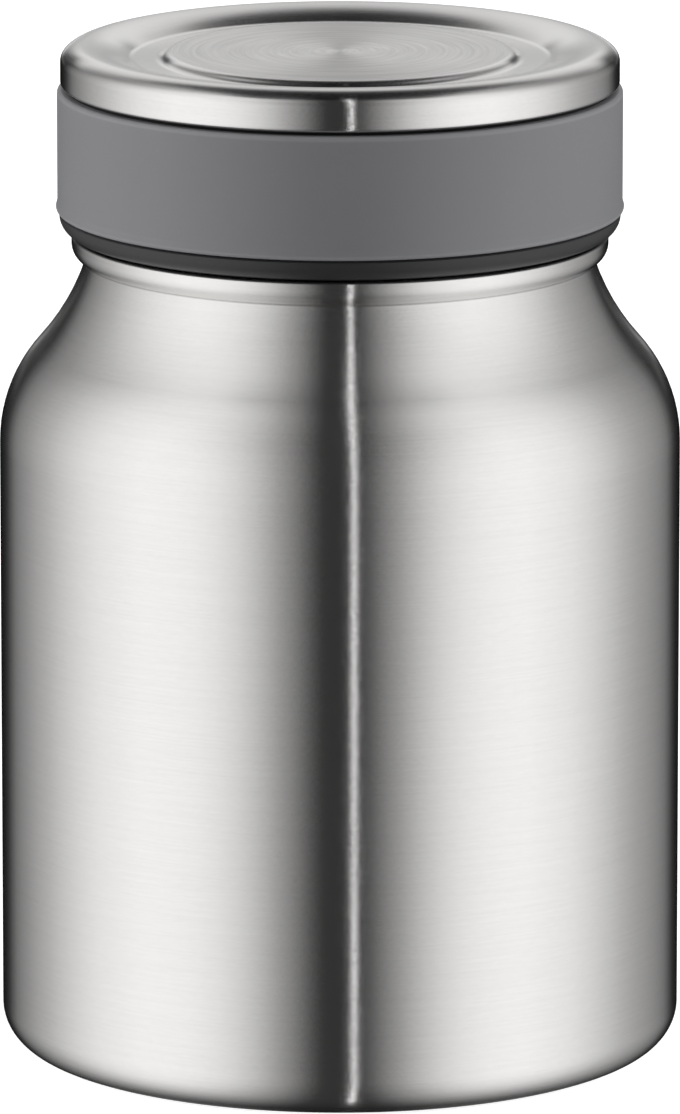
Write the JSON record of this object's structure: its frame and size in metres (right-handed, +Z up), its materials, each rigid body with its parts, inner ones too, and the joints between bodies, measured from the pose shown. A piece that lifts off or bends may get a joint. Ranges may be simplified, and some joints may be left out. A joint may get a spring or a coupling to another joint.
{
  "type": "insulated food jar",
  "caption": "Wide-mouth insulated food jar with a brushed steel double-walled body, a sloping shoulder and a steel-topped screw lid with a grey grip band.",
  "frame": {"origin": "middle of the base, on the surface that the jar stands on", "axes": "+Z up along the jar's axis, from the base to the lid; the jar is round, so +X and +Y are any two level directions, and the getter sits on the +X side"},
  "size_m": [0.095, 0.095, 0.142],
  "materials": {
    "body_steel": "stainless steel, brushed round the axis in fine level lines",
    "cap_steel": "stainless steel, brushed in circles on top and round the edge",
    "liner_steel": "stainless steel, smooth satin from drawing and polishing",
    "base_steel": "stainless steel, turned satin",
    "grip_silicone": "matte mid-grey silicone, fine moulded grain",
    "lid_plastic": "near-black polypropylene, satin",
    "plug_plastic": "near-black polypropylene, satin",
    "seal_silicone": "milky silicone, soft sheen",
    "foam": "closed-cell insulating foam",
    "foil": "bright thin foil",
    "getter_metal": "pressed metal powder, dull",
    "solder_glass": "dark solder glass, glossy"
  },
  "bodies": {
    "jar": {"outer_shell": "body_steel", "inner_liner": "liner_steel", "outer_base": "base_steel", "base_cover": "base_steel", "vacuum_seal": "solder_glass", "getter_pellet": "getter_metal", "getter_clip": "liner_steel", "foil_wrap": "foil", "foil_disc": "foil"},
    "seal": {"lid_gasket": "seal_silicone"},
    "lid": {"lid_body": "lid_plastic", "grip_band": "grip_silicone", "steel_cap": "cap_steel", "lid_foam": "foam", "lid_plug": "plug_plastic"}
  },
  "joints": [
    {"name": "lid_rise", "type": "slide", "parent": "jar", "child": "seal", "axis": [0, 0, 1], "range_m": [0, 0.0305]},
    {"name": "lid_turn", "type": "hinge", "parent": "seal", "child": "lid", "pos_m": [0, 0, 0.132], "axis": [0, 0, 1], "range_deg": [0, 900]}
  ],
  "couplings": [
    {"joint": "lid_rise", "follows": "lid_turn", "m_per_rad": 0.0019099}
  ]
}
